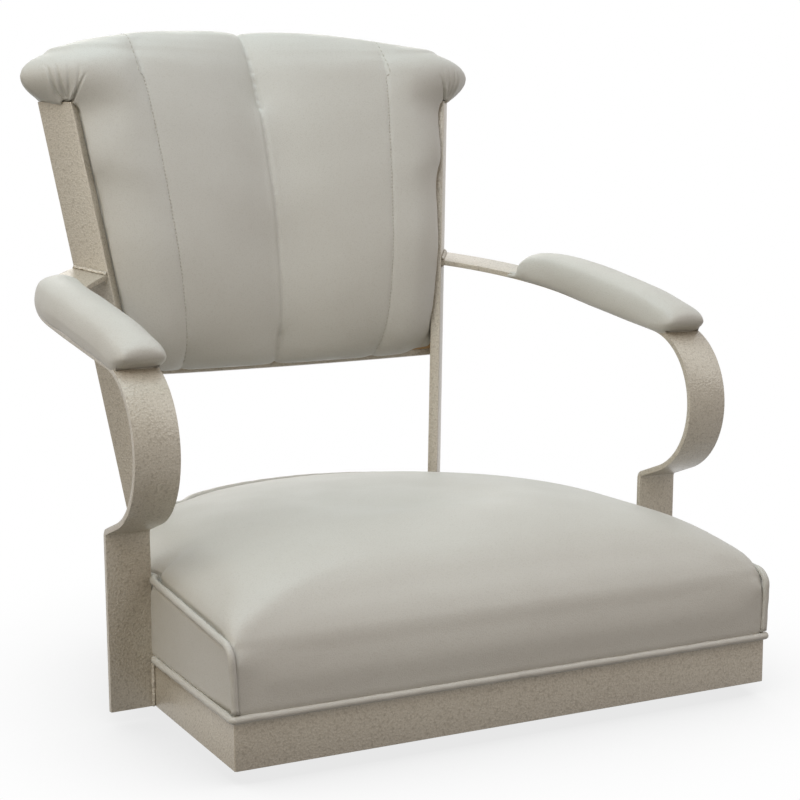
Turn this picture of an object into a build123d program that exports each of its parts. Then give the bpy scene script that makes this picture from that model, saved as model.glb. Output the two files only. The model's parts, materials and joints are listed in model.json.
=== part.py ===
from build123d import *
import math
import os

# Seat head of a swivel counter stool: flat-bar frame, ball-bearing swivel, padded seat, back and arms.
# The origin is on the swivel axis at the underside of the lower swivel plate, +Z up, and the seat faces -Y.
# Seat coordinates: y is zero at the front bar's face, z is zero at the apron's lower edge.

# Cuts and clearances
overrun = 6.0
reach = 700.0
quarter_turn = 90.0
soft_gap = 0.3
seat_gap = 0.2

# Flat bar stock
bar_width = 38.1
bar_thickness = 4.76
upright_thickness = 9.52
bead_radius = 3.2

# Apron, a hoop of flat bar under the seat
seat_width = 495.3
seat_depth = 431.8
side_taper_angle = 1.9

# Uprights, welded to the outside of the hoop
upright_turn_angle = 34.0
upright_lean_angle = 11.72
upright_splay_angle = 7.64
upright_top = 495.0

# Arm bars
arm_setback = 182.0
arm_splay_angle = 0.6
arm_bend_radius = 3.4
arm_loop_radius = 68.6
arm_loop_height = 224.5
arm_loop_forward = 7.9
arm_loop_exit_angle = 20.0
arm_start_slope_angle = 6.5
arm_end_overhang = 68.2
arm_end_height = 340.2
arm_curve_radius = 222.2
arm_curve_lead = 121.8
arm_curve_turn_angle = 75.0

# Arm pads
pad_width = 42.7
pad_front = 139.0
pad_length = 256.0
pad_shift = 2.0
pad_height = 30.5
pad_core_width = 30.0
pad_core_thickness = 9.0
pad_core_margin = 24.0
pad_screw_radius = 2.0
pad_screw_head_radius = 4.2
pad_screw_head_height = 2.4
pad_screw_bite = 7.0
pad_screw_margin = 52.0

# Swivel
swivel_corner_radius = 12.0
swivel_plate_thickness = 3.0
swivel_bolt_spacing = 146.0
swivel_plate_margin = 16.0
seat_bolt_spacing = 96.0
swivel_hole_radius = 4.2
swivel_axis_y = 236.0
ball_radius = 4.76
ball_circle_radius = 58.0
ball_count = 14
ball_groove_depth = 1.0
ball_clearance = 0.05
cage_thickness = 1.6
cage_wall = 4.0
cage_clearance = 0.25
hub_radius = 26.0
hub_rise = 4.0
hub_wall = 3.0
rivet_radius = 6.0
rivet_head_radius = 11.0
rivet_head_height = 2.6
rivet_clearance = 0.08
washer_radius = 13.0

# Crossbars and the swivel's fasteners
crossbar_thickness = 6.35
crossbar_lift = 2.0
swivel_bolt_radius = 3.9
swivel_bolt_head_radius = 7.5
swivel_bolt_head_height = 2.4
swivel_bolt_length = 19.0
nut_across_flats = 13.0
nut_height = 6.5

# Seat board and what fastens it
board_thickness = 12.7
board_inset = 4.0
tab_length = 25.0
tab_width = 22.0
tab_thickness = 3.2
tab_front_y = 60.0
tab_rear_y = 330.0
tab_screw_radius = 2.4
tab_screw_head_radius = 4.6
tab_screw_head_height = 2.6
tab_screw_bite = 9.0
dust_cover_thickness = 0.8
dust_cover_margin = 4.0

# Seat cushion and piping
welt_radius = 3.0
skin_inset = 1.8
seat_wall_bulge = 0.3
seat_corner_radius = 8.0
seat_seam_height = 96.0
seat_top_tilt_angle = 4.0
seat_crown_tilt_angle = -2.5
seat_crown = 40.0
welt_corner_y = 0.6
welt_corner_radius = 13.0
base_welt_corner_radius = 3.2
welt_notch = 1.0

# Back
back_margin = 7.15
back_base = 247.0
back_height = 338.5
back_depth = 100.0
back_curve_radius = 500.0
back_board_depth = 42.0
back_board_thickness = 9.5
back_board_ear_margin = 28.5
back_board_ear_height = 40.0
rail_width = 25.4
rail_thickness = 4.76
lower_rail_height = 247.0
upper_rail_height = 462.0
outer_panel_thickness = 6.0
outer_panel_top = 500.0
roll_underside = 503.0
rail_screw_radius = 2.2
rail_screw_head_radius = 4.4
rail_screw_bite = 7.0
rail_screw_x = 90.0

# Dome of the seat: rise as a share of the crown, front inset of the straight side's length, side inset of
# half the seat's width, and corner radius of what the front inset leaves of the straight side
seat_dome_shares = (
    (0.00, 0.0156, 0.0075, 0.0423),
    (0.16, 0.052, 0.012, 0.0685),
    (0.32, 0.104, 0.045, 0.160),
    (0.52, 0.195, 0.120, 0.290),
    (0.72, 0.312, 0.240, 0.472),
    (0.88, 0.481, 0.400, 0.750),
    (0.97, 0.728, 0.640, 0.762),
    (1.00, 0.897, 0.800, 0.754),
)

# Back cushion sections. Height is a share of the back's height and every depth is a share of its depth:
# height, half width, seam x, depth at the centre seam, at the side seams, at the edges, and at the rear
back_section_shares = (
    (0.000, 0.610, 0.430, 0.370, 0.270, 0.300, 0.600),
    (0.030, 0.665, 0.435, 0.265, 0.100, 0.190, 0.600),
    (0.075, 0.700, 0.442, 0.190, -0.020, 0.130, 0.600),
    (0.140, 0.728, 0.452, 0.105, -0.110, 0.120, 0.600),
    (0.240, 0.752, 0.467, 0.045, -0.190, 0.120, 0.600),
    (0.400, 0.782, 0.484, 0.025, -0.232, 0.120, 0.600),
    (0.550, 0.812, 0.502, 0.055, -0.225, 0.120, 0.620),
    (0.680, 0.840, 0.518, 0.110, -0.190, 0.125, 0.650),
    (0.750, 0.872, 0.527, 0.165, -0.168, 0.150, 0.760),
    (0.790, 0.945, 0.534, 0.200, -0.145, 0.170, 0.880),
    (0.840, 1.000, 0.540, 0.235, -0.110, 0.170, 0.950),
    (0.885, 0.960, 0.548, 0.275, -0.065, 0.190, 0.965),
    (0.925, 0.875, 0.556, 0.330, -0.010, 0.240, 0.950),
    (0.955, 0.740, 0.530, 0.385, 0.060, 0.300, 0.905),
    (0.980, 0.560, 0.430, 0.450, 0.170, 0.360, 0.840),
    (0.994, 0.400, 0.310, 0.510, 0.290, 0.410, 0.780),
    (1.000, 0.260, 0.200, 0.570, 0.410, 0.470, 0.720),
)
back_cap_section_count = 5
panel_bulge_share = 0.062
edge_bulge_share = 0.20
edge_rear_share = 0.30
side_depth_share = 0.60

# Arm pad sections: place along the pad, underside above the bar's top, crest above the bar's top, half width
pad_section_shares = (
    (0.000, 0.200, 0.500, 0.76),
    (0.020, 0.060, 0.630, 0.92),
    (0.075, -0.100, 0.760, 1.00),
    (0.180, -0.125, 0.900, 1.00),
    (0.330, -0.125, 0.980, 1.00),
    (0.560, -0.125, 1.000, 1.00),
    (0.780, -0.125, 0.930, 1.00),
    (0.900, -0.125, 0.800, 0.97),
    (0.970, -0.125, 0.560, 0.86),
    (1.000, -0.100, 0.260, 0.66),
)
pad_shoulder_width_share = 0.80
pad_shoulder_height_share = 0.80
pad_waist_share = 0.97


def sine(angle):
    return math.sin(math.radians(angle))


def cosine(angle):
    return math.cos(math.radians(angle))


def tangent(angle):
    return math.tan(math.radians(angle))


def largest(shape):
    return max(shape.solids(), key=lambda solid: solid.volume)


def both_sides(shape):
    return [shape, mirror(shape, about=Plane.YZ)]


# Worked out from the sizes above
half_width = seat_width / 2
hoop_centre_y = (seat_depth - half_width * cosine(side_taper_angle)) / (1 - sine(side_taper_angle))
hoop_radius = seat_depth - hoop_centre_y
upright_middle = bar_width
arm_end_y = seat_depth + arm_end_overhang
arm_curve_start = seat_depth - arm_curve_lead
back_half_width = half_width - back_margin
back_board_ear_half_width = back_half_width - back_board_ear_margin
swivel_height = 2 * (swivel_plate_thickness + ball_radius - ball_groove_depth + ball_clearance)
seat_lift = swivel_height - crossbar_lift
seat_to_part = Pos(0, -swivel_axis_y, seat_lift)


def write(name, *shapes):
    pieces = [solid for shape in shapes for solid in shape.solids()]
    piece = pieces[0] if len(pieces) == 1 else Compound(children=pieces)
    export_step(piece, f"parts/{name}.step")


def write_seat(name, *shapes):
    write(name, *[seat_to_part * shape for shape in shapes])


def seat_contour(front_inset, side_inset, corner_radius=0):
    """The apron's outer outline, drawn in at the front and along the sides and rear."""
    radius = hoop_radius - side_inset
    corner_x = half_width - side_inset / cosine(side_taper_angle) - front_inset * tangent(side_taper_angle)
    end_x = radius * cosine(side_taper_angle)
    end_y = hoop_centre_y + radius * sine(side_taper_angle)
    front = Polyline((-end_x, end_y), (-corner_x, front_inset), (corner_x, front_inset), (end_x, end_y))
    rear = ThreePointArc((end_x, end_y), (0, hoop_centre_y + radius), (-end_x, end_y))
    outline = make_face(front + rear)
    if corner_radius:
        corners = outline.vertices().group_by(Axis.Y)[0]
        outline = fillet(corners, corner_radius)
    return outline


def side_x(y):
    return half_width - y * tangent(side_taper_angle)


# Apron
def apron_block():
    return extrude(seat_contour(0, 0), bar_width)


def apron_inside():
    return extrude(seat_contour(bar_thickness, bar_thickness), bar_width)


def apron_bars():
    ring = apron_block() - apron_inside()
    inner_x = side_x(bar_thickness) - bar_thickness / cosine(side_taper_angle)
    corners = ((-half_width, 0), (half_width, 0), (inner_x, bar_thickness), (-inner_x, bar_thickness))
    front_bar = extrude(make_face(Polyline(*corners, close=True)), bar_width)
    return front_bar, ring - front_bar


# Uprights
def upright_plane():
    along = Vector(tangent(upright_splay_angle), tangent(upright_lean_angle), 1).normalized()
    across = Vector(sine(upright_turn_angle), cosine(upright_turn_angle), 0)
    across = (across - along * across.dot(along)).normalized()
    foot_x = hoop_radius * sine(upright_turn_angle)
    foot_y = hoop_centre_y + hoop_radius * cosine(upright_turn_angle)
    return Plane(origin=(foot_x, foot_y, upright_middle), x_dir=across.cross(along), z_dir=along)


def upright_stock(grow=0.0):
    size = (upright_thickness + 2 * grow, bar_width + 2 * grow, 2 * reach)
    stock = upright_plane() * Pos(0, bar_width / 2, 0) * Box(*size)
    slice_height = upright_top + grow
    return stock & Pos(0, 0, slice_height / 2) * Box(2 * reach, 2 * reach, slice_height)


def upright_bar():
    return upright_stock() - apron_block()


def space_inside_upright():
    """Everything on the inner side of the right upright's outer face."""
    half_space = Box(reach, 2 * reach, 2 * reach, align=(Align.MAX, Align.CENTER, Align.CENTER))
    return upright_plane() * Pos(upright_thickness / 2, 0, 0) * half_space


def space_outside_upright(gap=0.0):
    """Everything on the outer side of the right upright's inner face."""
    half_space = Box(reach, 2 * reach, 2 * reach, align=(Align.MIN, Align.CENTER, Align.CENTER))
    return upright_plane() * Pos(-upright_thickness / 2 - gap, 0, 0) * half_space


# Arm bars, built beside the apron's wall and then leaned outwards
arm_middle_y = arm_setback + bar_thickness / 2
arm_loop_y = arm_middle_y - arm_loop_forward
arm_place = Pos(side_x(arm_setback + bar_thickness), 0, 0) * Rot(0, arm_splay_angle, 0)


def arm_top_circle():
    """Centre and radius, in the YZ plane, of the long curve along the top run's middle."""
    radius = arm_loop_radius - bar_thickness / 2
    start_y = arm_loop_y - radius * sine(arm_start_slope_angle)
    start_z = arm_loop_height + radius * cosine(arm_start_slope_angle)
    chord = math.hypot(arm_end_y - start_y, arm_end_height - start_z)
    chord_angle = math.degrees(math.atan2(arm_end_height - start_z, arm_end_y - start_y))
    top_radius = chord / 2 / sine(chord_angle - arm_start_slope_angle)
    centre_y = start_y - top_radius * sine(arm_start_slope_angle)
    centre_z = start_z + top_radius * cosine(arm_start_slope_angle)
    return centre_y, centre_z, top_radius, start_y, start_z


def arm_top(y, above=0.0):
    """Height of a line that runs the given distance above the bar's top face."""
    centre_y, centre_z, radius, start_y, start_z = arm_top_circle()
    line_radius = radius - bar_thickness / 2 - above
    return centre_z - math.sqrt(line_radius**2 - (y - centre_y) ** 2)


def arm_path():
    middle = bar_thickness / 2
    loop_radius = arm_loop_radius - middle
    loop_start = 3 * quarter_turn - arm_loop_exit_angle
    loop_end = quarter_turn + arm_start_slope_angle

    def on_loop(angle):
        return (arm_loop_y + loop_radius * cosine(angle), arm_loop_height + loop_radius * sine(angle))

    touch_y, touch_z = on_loop(loop_start)
    corner_z = touch_z - (arm_middle_y - touch_y) * tangent(arm_loop_exit_angle)
    corners = ((arm_middle_y, 0), (arm_middle_y, corner_z), (touch_y, touch_z))
    rise = FilletPolyline(*corners, radius=arm_bend_radius + middle)
    loop = ThreePointArc((touch_y, touch_z), on_loop((loop_start + loop_end) / 2), on_loop(loop_end))
    direction = (cosine(arm_start_slope_angle), sine(arm_start_slope_angle))
    run = TangentArc(loop @ 1, (arm_end_y, arm_end_height), tangent=direction)
    return Plane.YZ * (rise + loop + run)


def arm_plan(width, front_y, rear_turn=arm_curve_turn_angle):
    """Plan of a strip of the given width, centred on the bar and bent inwards over its rear stretch."""
    middle_x = bar_width / 2
    centre_x = bar_width - arm_curve_radius
    outer = middle_x + width / 2
    inner = middle_x - width / 2

    def on_curve(x, angle):
        radius = x - centre_x
        return (centre_x + radius * cosine(angle), arm_curve_start + radius * sine(angle))

    outer_arc = ThreePointArc(on_curve(outer, 0), on_curve(outer, rear_turn / 2), on_curve(outer, rear_turn))
    inner_arc = ThreePointArc(on_curve(inner, rear_turn), on_curve(inner, rear_turn / 2), on_curve(inner, 0))
    front = Polyline(inner_arc @ 1, (inner, front_y), (outer, front_y), outer_arc @ 0)
    rear = Line(outer_arc @ 1, inner_arc @ 0)
    return make_face(outer_arc + rear + inner_arc + front)


def arm_stock(grow=0.0):
    """The bent bar before its ends are cut, grown all round by a clearance."""
    strip_width = bar_width + reach
    section = Pos(bar_width / 2, arm_middle_y, 0) * Rectangle(strip_width, bar_thickness + 2 * grow)
    strip = sweep(section, path=arm_path())
    front_y = arm_loop_y - arm_loop_radius - overrun
    plan = arm_plan(bar_width + 2 * grow, front_y)
    return strip & extrude(plan, reach)


def arm_screw_places():
    first = pad_front + pad_screw_margin
    spacing = (pad_length - 2 * pad_screw_margin) / 2
    return [first + spacing * step for step in range(3)]


def arm_screw_x(y):
    if y <= arm_curve_start:
        return bar_width / 2
    radius = arm_curve_radius - bar_width / 2
    return bar_width - arm_curve_radius + math.sqrt(radius**2 - (y - arm_curve_start) ** 2)


def arm_screw(y, radius, head_radius):
    """A pan-head screw that comes up through the bar into the pad's core."""
    under = arm_top(y, -bar_thickness) - seat_gap
    slope = math.degrees(math.asin((y - arm_top_circle()[0]) / arm_top_circle()[2]))
    length = bar_thickness + seat_gap + pad_screw_bite
    shank = Cylinder(radius, length, align=(Align.CENTER, Align.CENTER, Align.MIN))
    head = Cylinder(head_radius, pad_screw_head_height, align=(Align.CENTER, Align.CENTER, Align.MAX))
    screw = shank + head
    return Pos(arm_screw_x(y), y, under) * Rot(slope, 0, 0) * screw


def arm_pieces():
    """Right arm: bar, pad, core and screws, in seat coordinates."""
    bar = arm_stock()
    pad = arm_pad()
    pocket = arm_stock(soft_gap)
    core = arm_core(0.0)
    pad = pad - pocket - arm_core(soft_gap)
    screws = []
    for y in arm_screw_places():
        bar = bar - arm_screw(y, pad_screw_radius + seat_gap, pad_screw_radius + seat_gap)
        core = core - arm_screw(y, pad_screw_radius, pad_screw_radius)
        pad = pad - arm_screw(y, pad_screw_radius + soft_gap, pad_screw_head_radius + soft_gap)
        screws.append(arm_place * arm_screw(y, pad_screw_radius, pad_screw_head_radius))
    bar = largest(arm_place * bar - apron_block() - space_inside_upright())
    return bar, largest(arm_place * pad), largest(arm_place * core), screws


# Arm pads
def arm_core(grow):
    front_y = pad_front + pad_core_margin - grow
    rear_y = pad_front + pad_length - pad_core_margin + grow
    middle_y = (front_y + rear_y) / 2
    low = seat_gap - grow
    high = seat_gap + pad_core_thickness + grow
    lower = ThreePointArc(*[(y, arm_top(y, low)) for y in (front_y, middle_y, rear_y)])
    upper = ThreePointArc(*[(y, arm_top(y, high)) for y in (rear_y, middle_y, front_y)])
    side = make_face(lower + Line(lower @ 1, upper @ 0) + upper + Line(upper @ 1, lower @ 0))
    slab = extrude(Plane.YZ * side, reach, both=True)
    plan = arm_plan(pad_core_width + 2 * grow, pad_front)
    return slab & extrude(plan, reach)


def pad_section(place, under, crest, width):
    y = pad_front + pad_length * place
    radius = arm_curve_radius - bar_width / 2
    turn = 0.0
    if y > arm_curve_start:
        turn = math.degrees((y - arm_curve_start) / radius)
    middle_x = bar_width - arm_curve_radius + radius * cosine(turn) - pad_shift
    middle_y = arm_curve_start + radius * sine(turn) if turn else y
    bar_top = arm_top(middle_y)
    low = bar_top + pad_height * under
    high = bar_top + pad_height * crest
    shoulder_z = low + (high - low) * pad_shoulder_height_share
    waist_z = (low + shoulder_z) / 2
    half = pad_width / 2 * width
    shoulder = half * pad_shoulder_width_share
    foot = half * pad_waist_share
    base = Line((-foot, low), (foot, low))
    right = ThreePointArc((foot, low), (half, waist_z), (shoulder, shoulder_z))
    top = ThreePointArc((shoulder, shoulder_z), (0, high), (-shoulder, shoulder_z))
    left = ThreePointArc((-shoulder, shoulder_z), (-half, waist_z), (-foot, low))
    face = make_face(base + right + top + left)
    across = (cosine(turn), sine(turn), 0)
    plane = Plane(origin=(middle_x, middle_y, 0), x_dir=across, z_dir=(sine(turn), -cosine(turn), 0))
    return plane * face


def arm_pad():
    return loft([pad_section(*shares) for shares in pad_section_shares])


# Weld beads
def below_piping():
    top = base_welt_height - welt_radius - soft_gap
    return Box(2 * reach, 2 * reach, 2 * top)


def weld_beads(seam_face, *joined):
    """Fillets along a seam's two longest edges, with the joined pieces taken away."""
    beads = []
    for edge in sorted(seam_face.edges(), key=lambda edge: edge.length)[-2:]:
        start = edge @ 0
        run = (edge @ 1) - start
        rod = Cylinder(bead_radius, run.length, align=(Align.CENTER, Align.CENTER, Align.MIN))
        bead = Plane(origin=start, z_dir=run) * rod
        for piece in joined:
            bead = bead - piece
        beads.append(largest(bead))
    return beads


def nearest_face(shape, plane):
    return min(shape.faces(), key=lambda face: abs((face.center() - plane.origin).dot(plane.z_dir)))


def arm_welds(bar, upright):
    middle = upright_plane()
    face_plane = Plane(
        origin=middle.origin + middle.x_dir * (upright_thickness / 2),
        x_dir=middle.y_dir,
        z_dir=middle.x_dir,
    )
    beads = weld_beads(nearest_face(bar, face_plane), bar, upright)
    corner = Pos(side_x(arm_setback), arm_setback, 0)
    rod = Cylinder(bead_radius, bar_width, align=(Align.CENTER, Align.CENTER, Align.MIN))
    beads.append(largest((corner * rod - bar - apron_block()) & below_piping()))
    return beads


def upright_weld_beads(upright):
    coped = upright.faces().filter_by(GeomType.CYLINDER)[0]
    return [largest(bead & below_piping()) for bead in weld_beads(coped, upright, apron_block())]


# Swivel, in the part's own coordinates
base_bolt_places = GridLocations(swivel_bolt_spacing, swivel_bolt_spacing, 2, 2)
seat_bolt_places = GridLocations(seat_bolt_spacing, swivel_bolt_spacing, 2, 2)


def swivel_square(low, bolt_places):
    side = swivel_bolt_spacing + 2 * swivel_plate_margin
    square = RectangleRounded(side, side, swivel_corner_radius)
    plate = extrude(Pos(0, 0, low) * square, swivel_plate_thickness)
    for place in bolt_places:
        plate = plate - place * Cylinder(swivel_hole_radius, 2 * reach)
    return plate


def ball_race(height):
    return Pos(0, 0, height) * Torus(ball_circle_radius, ball_radius + ball_clearance)


upper_plate_low = swivel_height - swivel_plate_thickness
ball_height = swivel_height / 2
hub_top = hub_rise + hub_wall


def lower_swivel_plate():
    plate = swivel_square(0, base_bolt_places)
    hub = Cylinder(hub_radius, hub_top, align=(Align.CENTER, Align.CENTER, Align.MIN))
    recess = Cylinder(hub_radius - hub_wall, 2 * hub_rise)
    hole = Cylinder(rivet_radius, 2 * reach)
    return plate + hub - recess - hole - ball_race(ball_height)


def upper_swivel_plate():
    hole = Cylinder(rivet_radius + rivet_clearance, 2 * reach)
    return swivel_square(upper_plate_low, seat_bolt_places) - hole - ball_race(ball_height)


def ball_places():
    return PolarLocations(ball_circle_radius, ball_count)


def swivel_ball_set():
    return [Pos(0, 0, ball_height) * place * Sphere(ball_radius) for place in ball_places()]


def swivel_cage():
    outer = Cylinder(ball_circle_radius + ball_radius + cage_wall, cage_thickness)
    cage = outer - Cylinder(ball_circle_radius - ball_radius - cage_wall, 2 * cage_thickness)
    for place in ball_places():
        cage = cage - place * Cylinder(ball_radius + cage_clearance, 2 * cage_thickness)
    return Pos(0, 0, ball_height) * cage


def swivel_centre_rivet():
    top = swivel_height + rivet_clearance
    low = hub_rise - rivet_head_height
    stem = Pos(0, 0, low) * Cylinder(rivet_radius, top - low, align=(Align.CENTER, Align.CENTER, Align.MIN))
    flange = Cylinder(rivet_head_radius, rivet_head_height, align=(Align.CENTER, Align.CENTER, Align.MIN))
    return stem + Pos(0, 0, low) * flange + Pos(0, 0, top) * flange


def swivel_washer():
    height = upper_plate_low - hub_top - rivet_clearance
    washer = Cylinder(washer_radius, height, align=(Align.CENTER, Align.CENTER, Align.MIN))
    return Pos(0, 0, hub_top) * (washer - Cylinder(rivet_radius + rivet_clearance, 4 * height))


def swivel_fasteners():
    bolts = []
    nuts = []
    nut_low = swivel_height + crossbar_thickness
    for place in seat_bolt_places:
        above = (Align.CENTER, Align.CENTER, Align.MIN)
        bolt = Cylinder(swivel_bolt_radius, swivel_bolt_length, align=above)
        head = Cylinder(swivel_bolt_head_radius, swivel_bolt_head_height)
        bolt = bolt + Pos(0, 0, -swivel_bolt_head_height / 2) * head
        bolts.append(place * Pos(0, 0, upper_plate_low) * bolt)
        hexagon = RegularPolygon(nut_across_flats / 2, 6, major_radius=False)
        nut = extrude(hexagon, nut_height) - Cylinder(swivel_bolt_radius, 4 * nut_height)
        nuts.append(place * Pos(0, 0, nut_low) * nut)
    return bolts, nuts


# Crossbars, tabs, board and dust cover
def crossbar(side):
    centre_y = swivel_axis_y + side * swivel_bolt_spacing / 2
    bar = Pos(0, centre_y, crossbar_lift) * Box(
        seat_width, bar_width, crossbar_thickness, align=(Align.CENTER, Align.CENTER, Align.MIN)
    )
    bar = bar & apron_inside()
    for x in (-seat_bolt_spacing / 2, seat_bolt_spacing / 2):
        bar = bar - Pos(x, centre_y, 0) * Cylinder(swivel_hole_radius, 2 * reach)
    return bar


def tab_wall_x(y):
    """Half width between the apron's inner walls at the given distance from the front."""
    inner_radius = hoop_radius - bar_thickness
    straight = side_x(y) - bar_thickness / cosine(side_taper_angle)
    if y <= hoop_centre_y + inner_radius * sine(side_taper_angle):
        return straight
    return math.sqrt(inner_radius**2 - (y - hoop_centre_y) ** 2)


def seat_tabs():
    tabs = []
    for y in (tab_front_y, tab_rear_y):
        inner_x = tab_wall_x(y) - tab_length
        tab = Box(seat_width, tab_width, tab_thickness, align=(Align.MIN, Align.CENTER, Align.MAX))
        tab = Pos(inner_x, y, bar_width) * tab & apron_inside()
        tabs.append(tab - Pos(tab_screw_x(y), y, 0) * Cylinder(tab_screw_radius + seat_gap, 2 * reach))
    return [side for tab in tabs for side in both_sides(tab)]


def tab_screw_x(y):
    return tab_wall_x(y) - tab_length / 2


def seat_screw(y, radius, head_radius):
    length = tab_thickness + tab_screw_bite
    shank = Cylinder(radius, length, align=(Align.CENTER, Align.CENTER, Align.MIN))
    head = Cylinder(head_radius, tab_screw_head_height, align=(Align.CENTER, Align.CENTER, Align.MAX))
    return Pos(tab_screw_x(y), y, bar_width - tab_thickness) * (shank + head)


def seat_screws():
    screws = [seat_screw(y, tab_screw_radius, tab_screw_head_radius) for y in (tab_front_y, tab_rear_y)]
    return [side for screw in screws for side in both_sides(screw)]


def seat_board(grow=0.0):
    outline = seat_contour(board_inset - grow, board_inset - grow)
    return extrude(Pos(0, 0, bar_width - grow) * outline, board_thickness + 2 * grow)


def dust_cover():
    inset = bar_thickness + tab_length + dust_cover_margin
    outline = seat_contour(inset, inset)
    return extrude(Pos(0, 0, bar_width - dust_cover_thickness) * outline, dust_cover_thickness)


# Seat cushion and piping
welt_offset = 2 * soft_gap + welt_radius - skin_inset
base_welt_height = bar_width + math.sqrt((welt_radius + soft_gap) ** 2 - welt_offset**2)
seat_middle_y = seat_depth / 2
seat_middle_height = seat_seam_height + seat_middle_y * tangent(seat_top_tilt_angle)
top_plane = Plane.XY.rotated((seat_top_tilt_angle, 0, 0))
top_plane.origin = (0, 0, seat_seam_height)


def seat_cushion():
    middle = (bar_width + seat_seam_height) / 2
    middle_plane = Pos(0, 0, middle) * Rot(seat_top_tilt_angle / 2, 0, 0)
    base = Pos(0, 0, bar_width + soft_gap) * seat_contour(skin_inset, skin_inset, seat_corner_radius)
    bulged = middle_plane * seat_contour(-seat_wall_bulge, -seat_wall_bulge, seat_corner_radius)
    dome = []
    for rise, front, side, corner in seat_dome_shares:
        straight = hoop_centre_y * (1 - front)
        contour = seat_contour(hoop_centre_y - straight, side * half_width, corner * straight)
        tilt = seat_top_tilt_angle + (seat_crown_tilt_angle - seat_top_tilt_angle) * rise
        height = seat_middle_height + rise * seat_crown
        dome.append(Pos(0, seat_middle_y, height) * Rot(tilt, 0, 0) * Pos(0, -seat_middle_y, 0) * contour)
    wall = loft([base, bulged, dome[0]])
    crown = loft(dome)
    cushion = wall + crown - seat_board(soft_gap)
    for slot in arm_plate_slots():
        cushion = cushion - slot
    return cushion


def arm_plate_slots():
    """Room for the arm plates where they press into the cushion's sides and the piping."""
    slot = Box(
        bar_width,
        bar_thickness + 2 * soft_gap,
        2 * reach,
        align=(Align.MIN, Align.MIN, Align.CENTER),
    )
    slot_x = side_x(arm_setback + bar_thickness) - soft_gap
    return both_sides(Pos(slot_x, arm_setback - soft_gap, 0) * slot)


def notched(welt):
    """A welt with gaps where the arm plates and the uprights pass it."""
    for slot in arm_plate_slots() + both_sides(upright_stock(welt_notch)):
        welt = welt - slot
    return welt


def seat_base_welt():
    outline = seat_contour(-welt_offset, -welt_offset, base_welt_corner_radius)
    path = (Pos(0, 0, base_welt_height) * outline).face().outer_wire()
    start = Plane(origin=path @ 0, z_dir=path % 0)
    return notched(sweep(start * Circle(welt_radius), path=path))


def seat_top_welt():
    radius = hoop_radius + welt_offset
    corner_x = side_x(0) + welt_offset / cosine(side_taper_angle)
    corner_y = welt_corner_y / cosine(seat_top_tilt_angle)
    side_end = top_plane.from_local_coords(
        Vector(radius * cosine(side_taper_angle), hoop_centre_y + radius * sine(side_taper_angle), 0)
    )
    corner_x = corner_x - corner_y * tangent(side_taper_angle)
    corner = top_plane.from_local_coords(Vector(corner_x, corner_y, 0))
    rear = top_plane.from_local_coords(Vector(0, hoop_centre_y + radius, 0))
    foot = Vector(corner.X, corner.Y, base_welt_height + 2 * welt_radius + soft_gap)
    leg = FilletPolyline(foot, corner, side_end, radius=welt_corner_radius)
    far_leg = mirror(leg, about=Plane.YZ)
    far_end = Vector(-side_end.X, side_end.Y, side_end.Z)
    path = Wire([*leg.edges(), ThreePointArc(side_end, rear, far_end), *far_leg.edges()])
    start = Plane(origin=foot, z_dir=(0, 0, 1))
    return notched(sweep(start * Circle(welt_radius), path=path))


# Back, built in a plane that leans with the uprights
def back_frame():
    foot = upright_plane().origin
    origin = (0, foot.Y - foot.Z * tangent(upright_lean_angle), 0)
    along = (0, sine(upright_lean_angle), cosine(upright_lean_angle))
    return Plane(origin=origin, x_dir=(1, 0, 0), z_dir=along)


def curved_shell(depth, thickness, outline):
    """A sheet bent about an axis that leans with the back, cut to an outline in x and height."""
    outer = back_curve_radius + depth - back_board_depth + thickness
    ring = Cylinder(outer, 4 * reach) - Cylinder(outer - thickness, 4 * reach)
    ring = Pos(0, back_board_depth - back_curve_radius, 0) * ring
    cut = extrude(Plane.XZ * outline, -back_curve_radius)
    return back_frame() * (ring & cut)


def between_uprights(shape, gap):
    for space in both_sides(space_outside_upright(gap)):
        shape = shape - space
    return shape


def level_band(low, high, half):
    return make_face(Polyline((-half, low), (half, low), (half, high), (-half, high), close=True))


def back_rail(low):
    band = level_band(low, low + rail_width, half_width)
    rail = curved_shell(back_board_depth + back_board_thickness, rail_thickness, band)
    return between_uprights(rail, 0)


def back_board_shell(grow=0.0):
    depth = back_board_depth - grow
    thickness = back_board_thickness + 2 * grow
    board_low = back_base + overrun
    tall = level_band(board_low - grow, roll_underside + overrun, half_width)
    board = between_uprights(curved_shell(depth, thickness, tall), soft_gap - grow)
    ear_low = roll_underside + overrun
    ear_high = ear_low + back_board_ear_height
    ears = level_band(ear_low, ear_high + grow, back_board_ear_half_width + grow)
    return board + curved_shell(depth, thickness, ears)


def outer_panel():
    depth = back_board_depth + back_board_thickness + rail_thickness + soft_gap
    panel = curved_shell(depth, outer_panel_thickness, level_band(back_base, outer_panel_top, half_width))
    return between_uprights(panel, soft_gap)


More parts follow.
